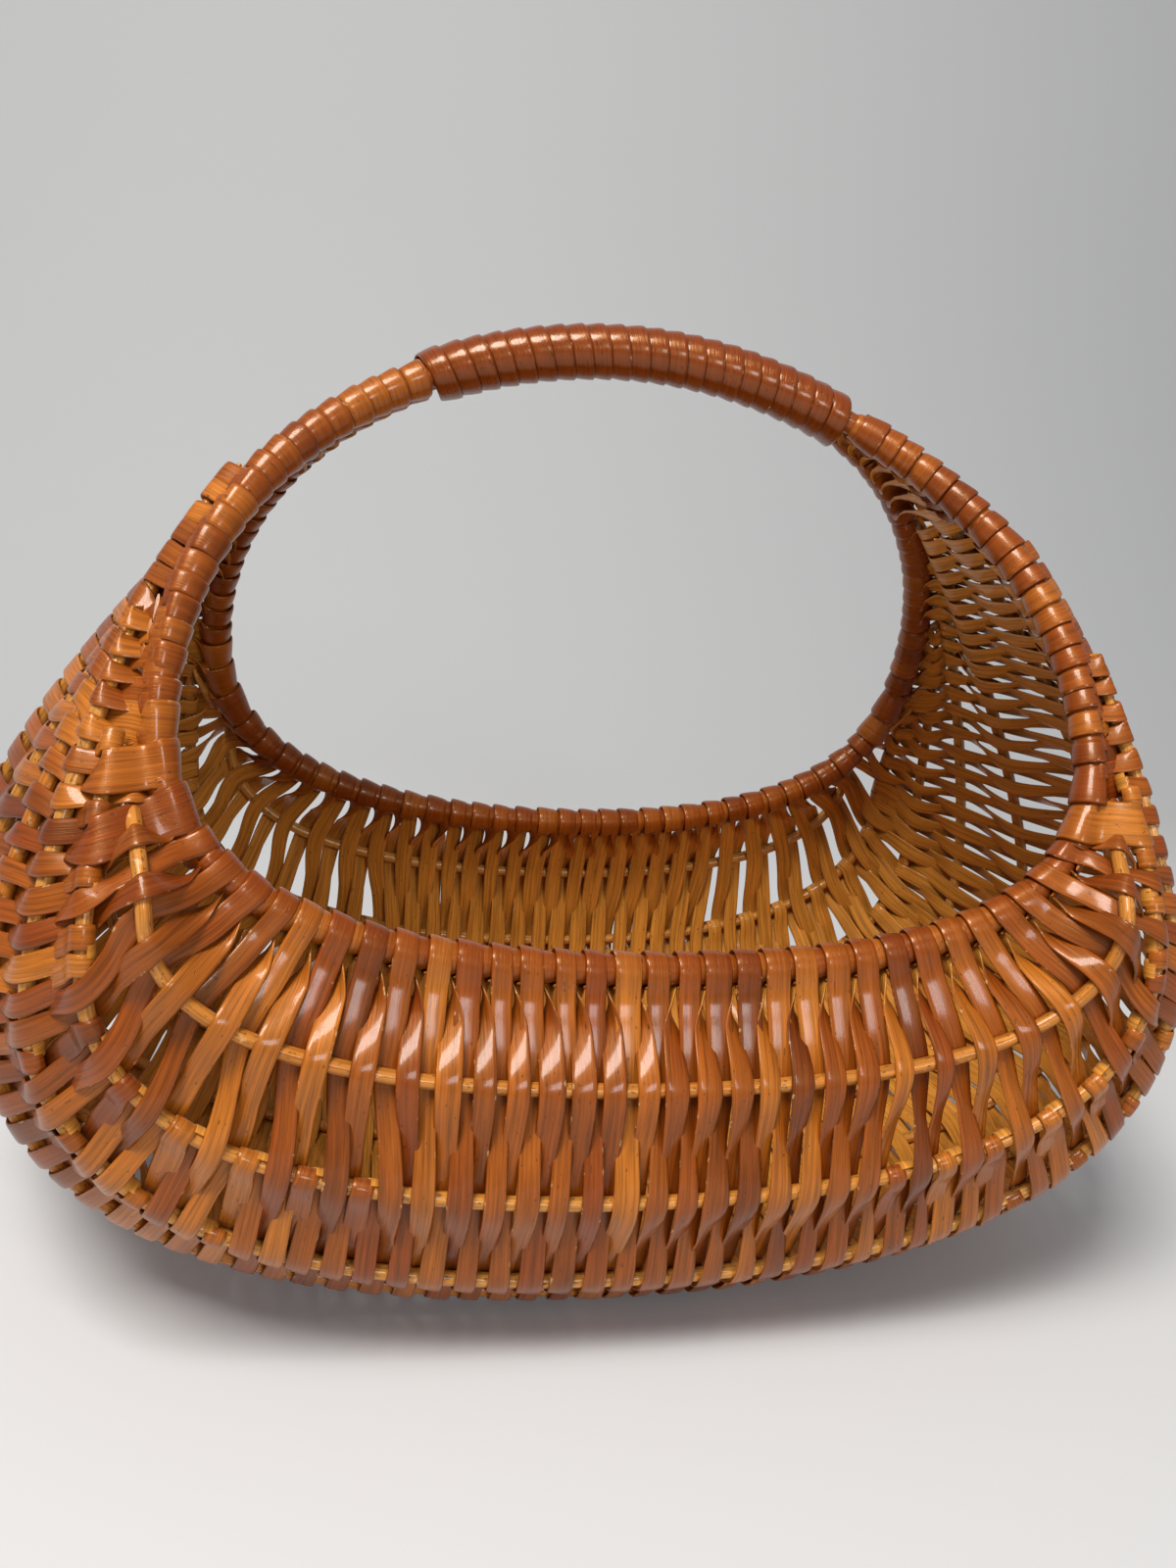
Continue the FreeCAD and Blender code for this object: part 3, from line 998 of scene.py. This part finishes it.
def grain_group():
    """Streaks along the willow's fibres, specks of bark and the height of both."""
    tree = bpy.data.node_groups.new("Willow Grain", "ShaderNodeTree")
    face = tree.interface
    face.new_socket("Place", in_out="INPUT", socket_type="NodeSocketVector")
    face.new_socket("Tone", in_out="INPUT", socket_type="NodeSocketFloat")
    face.new_socket("Speck Share", in_out="INPUT", socket_type="NodeSocketFloat")
    for word in ("Streak", "Cloud", "Speck", "Height"):
        face.new_socket(word, in_out="OUTPUT", socket_type="NodeSocketFloat")
    given = add_node(tree, "NodeGroupInput")
    result = add_node(tree, "NodeGroupOutput")
    link = tree.links.new
    apart = vector_maths(tree, "SCALE", tone_shift, given.outputs["Tone"])
    spot = vector_maths(tree, "ADD", given.outputs["Place"], apart)

    def noise(along, across, detail):
        stretched = vector_maths(tree, "MULTIPLY", spot, (along, across, across))
        made = add_node(tree, "ShaderNodeTexNoise")
        set_inputs(made, Scale=1.0, Detail=detail, Roughness=grain_roughness)
        link(stretched, made.inputs["Vector"])
        return made.outputs["Fac"]

    streak = noise(*streak_noise)
    fibre = noise(*fibre_noise)
    cloud = noise(*cloud_noise)
    dots = noise(*speck_noise)
    limit = maths(tree, "SUBTRACT", 1.0, given.outputs["Speck Share"])
    speck = add_node(tree, "ShaderNodeMapRange", interpolation_type="SMOOTHSTEP")
    link(dots, speck.inputs["Value"])
    link(limit, speck.inputs["From Min"])
    link(maths(tree, "ADD", limit, speck_softness), speck.inputs["From Max"])
    broad = maths(tree, "MULTIPLY", streak, streak_part)
    fine = maths(tree, "MULTIPLY", fibre, fibre_part)
    lines = maths(tree, "ADD", broad, fine)
    pits = maths(tree, "MULTIPLY", speck.outputs["Result"], speck_depth)
    link(lines, result.inputs["Streak"])
    link(cloud, result.inputs["Cloud"])
    link(speck.outputs["Result"], result.inputs["Speck"])
    link(maths(tree, "SUBTRACT", lines, pits), result.inputs["Height"])
    return tree


def scuff_group():
    """Where the varnish is rubbed through, strongest on edges."""
    tree = bpy.data.node_groups.new("Varnish Scuff", "ShaderNodeTree")
    face = tree.interface
    face.new_socket("Place", in_out="INPUT", socket_type="NodeSocketVector")
    face.new_socket("Edge", in_out="INPUT", socket_type="NodeSocketFloat")
    face.new_socket("Amount", in_out="INPUT", socket_type="NodeSocketFloat")
    face.new_socket("Scuff", in_out="OUTPUT", socket_type="NodeSocketFloat")
    given = add_node(tree, "NodeGroupInput")
    result = add_node(tree, "NodeGroupOutput")
    link = tree.links.new
    patches = add_node(tree, "ShaderNodeTexNoise")
    set_inputs(patches, Scale=scuff_scale, Detail=scuff_detail, Roughness=scuff_roughness)
    link(given.outputs["Place"], patches.inputs["Vector"])
    on_edges = maths(tree, "MULTIPLY", given.outputs["Edge"], scuff_on_edges)
    rubbed = maths(tree, "ADD", patches.outputs["Fac"], on_edges)
    rubbed = maths(tree, "ADD", rubbed, given.outputs["Amount"])
    shown = add_node(tree, "ShaderNodeMapRange", interpolation_type="SMOOTHSTEP")
    set_inputs(shown, From_Min=scuff_start, From_Max=scuff_full)
    link(rubbed, shown.inputs["Value"])
    link(shown.outputs["Result"], result.inputs["Scuff"])
    return tree


def group_in(tree, make, name):
    made = add_node(tree, "ShaderNodeGroup")
    made.node_tree = bpy.data.node_groups.get(name) or make()
    return made


def attribute(tree, name):
    return add_node(tree, "ShaderNodeAttribute", attribute_type="GEOMETRY", attribute_name=name)


def mixed(tree, share, first, second, blend="MIX"):
    """Mix of two colours; each is a socket or a plain colour."""
    made = add_node(tree, "ShaderNodeMix", data_type="RGBA", blend_type=blend)
    factor = next(socket for socket in made.inputs if socket.identifier == "Factor_Float")
    ends = [socket for socket in made.inputs if socket.type == "RGBA"]
    for socket, value in zip((factor, *ends), (share, first, second)):
        if isinstance(value, bpy.types.NodeSocket):
            tree.links.new(value, socket)
        elif isinstance(value, (int, float)):
            socket.default_value = value
        else:
            socket.default_value = (*value, 1.0)
    return next(socket for socket in made.outputs if socket.type == "RGBA")


def spread(tree, value, limits, results=(0.0, 1.0)):
    """Smooth step from the first result to the second as the value passes between the limits."""
    made = add_node(tree, "ShaderNodeMapRange", interpolation_type="SMOOTHSTEP")
    set_inputs(made, From_Min=limits[0], From_Max=limits[1], To_Min=results[0], To_Max=results[1])
    tree.links.new(value, made.inputs["Value"])
    return made.outputs["Result"]


def blank_material(name, colour):
    material = bpy.data.materials.new(name)
    material.use_nodes = True
    material.diffuse_color = (*colour, 1.0)
    return material, material.node_tree, material.node_tree.nodes["Principled BSDF"]


def willow_material(name, willow, colours, speck_share, scuff, rough, inside_share):
    """Varnished willow: colours from piece to piece, grain, specks, scuffed edges and a duller inside."""
    colours = [getattr(willow, word) for word in colours]
    material, tree, surface = blank_material(name, colours[0])
    link = tree.links.new
    place_here = attribute(tree, "grain").outputs["Vector"]
    tone = attribute(tree, "tone").outputs["Fac"]
    polish = attribute(tree, "polish").outputs["Fac"]
    section = add_node(tree, "ShaderNodeSeparateXYZ")
    link(attribute(tree, "section").outputs["Vector"], section.inputs["Vector"])
    grain = group_in(tree, grain_group, "Willow Grain")
    grain.inputs["Speck Share"].default_value = speck_share
    link(place_here, grain.inputs["Place"])
    link(tone, grain.inputs["Tone"])
    body = add_node(tree, "ShaderNodeTexCoord")
    rubbed = group_in(tree, scuff_group, "Varnish Scuff")
    rubbed.inputs["Amount"].default_value = scuff
    link(body.outputs["Object"], rubbed.inputs["Place"])
    edge = spread(tree, maths(tree, "ABSOLUTE", section.outputs["X"]), edge_limits)
    link(edge, rubbed.inputs["Edge"])

    ramp = add_node(tree, "ShaderNodeValToRGB")
    while len(ramp.color_ramp.elements) < len(colours):
        ramp.color_ramp.elements.new(1.0)
    for i, colour in enumerate(colours):
        ramp.color_ramp.elements[i].position = i / (len(colours) - 1)
        ramp.color_ramp.elements[i].color = (*colour, 1.0)
    def times(value, factor):
        return maths(tree, "MULTIPLY", value, factor)

    drift = times(maths(tree, "SUBTRACT", grain.outputs["Cloud"], cloud_middle), cloud_drift)
    link(maths(tree, "ADD", tone, drift), ramp.inputs["Fac"])
    back = times(spread(tree, section.outputs["Y"], inside_limits, (1.0, 0.0)), inside_share)
    skin = mixed(tree, back, ramp.outputs["Color"], willow.inside)
    shade = spread(tree, grain.outputs["Streak"], streak_limits, streak_shades)
    dark = add_node(tree, "ShaderNodeCombineColor")
    for channel in ("Red", "Green", "Blue"):
        link(shade, dark.inputs[channel])
    grained = mixed(tree, grain_strength, skin, dark.outputs["Color"], "MULTIPLY")
    handled = mixed(tree, times(polish, polish_strength), grained, willow.russet)
    specked = mixed(tree, times(grain.outputs["Speck"], speck_strength), handled, willow.bark)
    coloured = mixed(tree, times(rubbed.outputs["Scuff"], scuff_strength), specked, willow.pith)
    link(coloured, surface.inputs["Base Color"])

    worn = times(rubbed.outputs["Scuff"], scuff_dullness)
    dull = maths(tree, "ADD", worn, times(back, inside_dullness))
    streaked = times(grain.outputs["Streak"], streak_dullness)
    sheen = maths(tree, "SUBTRACT", streaked, times(polish, polish_shine))
    link(maths(tree, "ADD", maths(tree, "ADD", dull, sheen), rough), surface.inputs["Roughness"])
    surface.inputs["Coat Weight"].default_value = willow.gloss
    surface.inputs["Coat Roughness"].default_value = varnish_roughness
    surface.inputs["Specular IOR Level"].default_value = reflection_level
    surface.inputs["Specular Tint"].default_value = (*willow.shine, 1.0)
    bump = set_inputs(add_node(tree, "ShaderNodeBump"), Strength=grain_bump, Distance=grain_depth)
    link(grain.outputs["Height"], bump.inputs["Height"])
    link(bump.outputs["Normal"], surface.inputs["Normal"])
    return material


def finish_material(kind):
    """The one material of that kind, made when it is first asked for."""
    willow = bpy.context.scene.basket_willow
    return bpy.data.materials.get(kind) or willow_material(kind, willow, **finishes[kind])


class BASKET_OT_rims(bpy.types.Operator):
    """Build the two rim hoops"""
    bl_idname = "basket.rims"
    bl_label = "Rims"

    def execute(self, context):
        for k, name in ((0, "front"), (last_rod, "back")):
            path = rod_path(k, rim_unevenness, rim_tone)
            finish = finish_material("rim_hoop")
            piece = swept_piece(name + "_hoop", [path], rim_sides, round_section, finish)
            hand_over(piece, "rim_willow", name + "_rim_rod")
        return {"FINISHED"}


class BASKET_OT_ribs(bpy.types.Operator):
    """Build the eleven peeled ribs"""
    bl_idname = "basket.ribs"
    bl_label = "Ribs"

    def execute(self, context):
        uneven = context.scene.basket_weave.unevenness
        for k in range(1, last_rod):
            path = rod_path(k, uneven, (k * rib_tone_step) % 1.0)
            finish = finish_material("peeled_rib")
            piece = swept_piece("peeled_rib_%02d" % k, [path], rib_sides, round_section, finish)
            hand_over(piece, "rib_willow", "rib_%02d" % k)
        return {"FINISHED"}


class BASKET_OT_skeins(bpy.types.Operator):
    """Weave the skeins, zone by zone"""
    bl_idname = "basket.skeins"
    bl_label = "Woven Skeins"

    def execute(self, context):
        weave = context.scene.basket_weave
        skeins = all_skeins()
        for z, zone in enumerate(zones):
            for side, word in ((1, "outer"), (-1, "inner")):
                members = [skein for skein in skeins if skein.side == side and zone_of(skein) == z]
                paths = [skein_path(skein, weave) for skein in members]
                finish = finish_material("split_willow")
                piece = swept_piece("woven_%s_%s" % (zone, word), paths, skein_sides, skein_section, finish)
                hand_over(piece, "skein_willow", "skeins_%s_%s" % (zone, word))
        return {"FINISHED"}


class BASKET_OT_grip(bpy.types.Operator):
    """Wind the grip"""
    bl_idname = "basket.grip"
    bl_label = "Bound Grip"

    def execute(self, context):
        path = wrap_path(context.scene.basket_weave)
        finish = finish_material("grip_willow")
        piece = swept_piece("bound_grip", [path], skein_sides, skein_section, finish)
        hand_over(piece, "wrap_skein", "grip_wrap")
        for name in ("grip_filler_upper", "grip_filler_lower"):
            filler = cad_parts[name]
            filler.data.materials.clear()
            filler.data.materials.append(finish_material("rim_hoop"))
        return {"FINISHED"}


class BASKET_OT_stage(bpy.types.Operator):
    """Set the floor, the lamps and the camera"""
    bl_idname = "basket.stage"
    bl_label = "Stage"

    def execute(self, context):
        settings = context.scene.basket_stage
        context.scene.view_settings.view_transform = "Standard"
        self.floor(settings)
        self.sky()
        self.lamps(settings)
        self.camera(settings)
        return {"FINISHED"}

    def floor(self, settings):
        """Sheet of paper that runs back and bends up into the backdrop."""
        half = floor_half_width
        bend = backdrop_bend
        start = backdrop_place - bend
        rows = [(-half, 0.0), (start, 0.0)]
        for i in range(1, bend_steps + 1):
            a = math.pi / 2 * i / bend_steps
            rows.append((start + bend * math.sin(a), bend - bend * math.cos(a)))
        rows.append((backdrop_place, backdrop_height))
        corners = [(x, y, z) for y, z in rows for x in (-half, half)]
        faces = [(2 * i, 2 * i + 1, 2 * i + 3, 2 * i + 2) for i in range(len(rows) - 1)]
        sheet = bpy.data.meshes.new("studio_floor")
        sheet.from_pydata(corners, [], faces)
        sheet.polygons.foreach_set("use_smooth", [True] * len(faces))
        floor = bpy.data.objects.new("studio_floor", sheet)
        bpy.context.scene.collection.objects.link(floor)
        material, _, surface = blank_material("studio_paper", settings.floor_colour)
        surface.inputs["Base Color"].default_value = (*settings.floor_colour, 1.0)
        surface.inputs["Roughness"].default_value = paper_roughness
        surface.inputs["Specular IOR Level"].default_value = paper_reflection
        sheet.materials.append(material)

    def sky(self):
        world = bpy.data.worlds.new("studio_world")
        world.use_nodes = True
        bpy.context.scene.world = world
        back_light = world.node_tree.nodes["Background"]
        back_light.inputs["Color"].default_value = sky_colour
        back_light.inputs["Strength"].default_value = sky_strength

    def lamps(self, settings):
        lamps = (
            ("key_lamp", key_place, key_size, settings.key_power, key_colour),
            ("fill_lamp", fill_place, fill_size, settings.fill_power, fill_colour),
        )
        for name, spot, size, power, colour in lamps:
            data = bpy.data.lights.new(name, "AREA")
            data.size = size
            data.energy = power
            data.color = colour
            lamp = bpy.data.objects.new(name, data)
            lamp.location = spot
            lamp.rotation_euler = (lamp_aim - spot).to_track_quat("-Z", "Y").to_euler()
            bpy.context.scene.collection.objects.link(lamp)

    def camera(self, settings):
        forward = camera_forward.normalized()
        up = (-camera_down - forward * (-camera_down).dot(forward)).normalized()
        right = forward.cross(up)
        data = bpy.data.cameras.new("camera")
        data.lens = settings.lens
        data.sensor_width = film_width
        data.clip_start = nearest_view
        camera = bpy.data.objects.new("camera", data)
        turn = Matrix((right, up, -forward)).transposed()
        camera.matrix_world = Matrix.Translation(camera_place * mm) @ turn.to_4x4()
        bpy.context.scene.collection.objects.link(camera)
        bpy.context.scene.camera = camera


class BASKET_PT_panel(bpy.types.Panel):
    """Steps and settings of the basket"""
    bl_idname = "BASKET_PT_panel"
    bl_label = "Gondola Basket"
    bl_space_type = "VIEW_3D"
    bl_region_type = "UI"
    bl_category = "Basket"

    def draw(self, context):
        for step in steps_in_order:
            self.layout.operator(step.bl_idname)
        for group in (context.scene.basket_weave, context.scene.basket_willow, context.scene.basket_stage):
            box = self.layout.box()
            for name in group.__annotations__:
                box.prop(group, name)


steps_in_order = (BASKET_OT_rims, BASKET_OT_ribs, BASKET_OT_skeins, BASKET_OT_grip, BASKET_OT_stage)
setting_groups = {"basket_weave": BasketWeave, "basket_willow": BasketWillow, "basket_stage": BasketStage}


def register():
    for name, group in setting_groups.items():
        bpy.utils.register_class(group)
        setattr(bpy.types.Scene, name, PointerProperty(type=group))
    for made in (*steps_in_order, BASKET_PT_panel):
        bpy.utils.register_class(made)


def unregister():
    for made in (BASKET_PT_panel, *reversed(steps_in_order)):
        bpy.utils.unregister_class(made)
    for name, group in reversed(setting_groups.items()):
        delattr(bpy.types.Scene, name)
        bpy.utils.unregister_class(group)


def main():
    register()
    bpy.ops.basket.rims()
    bpy.ops.basket.ribs()
    bpy.ops.basket.skeins()
    bpy.ops.basket.grip()
    bpy.ops.basket.stage()


if __name__ == "__main__":
    main()
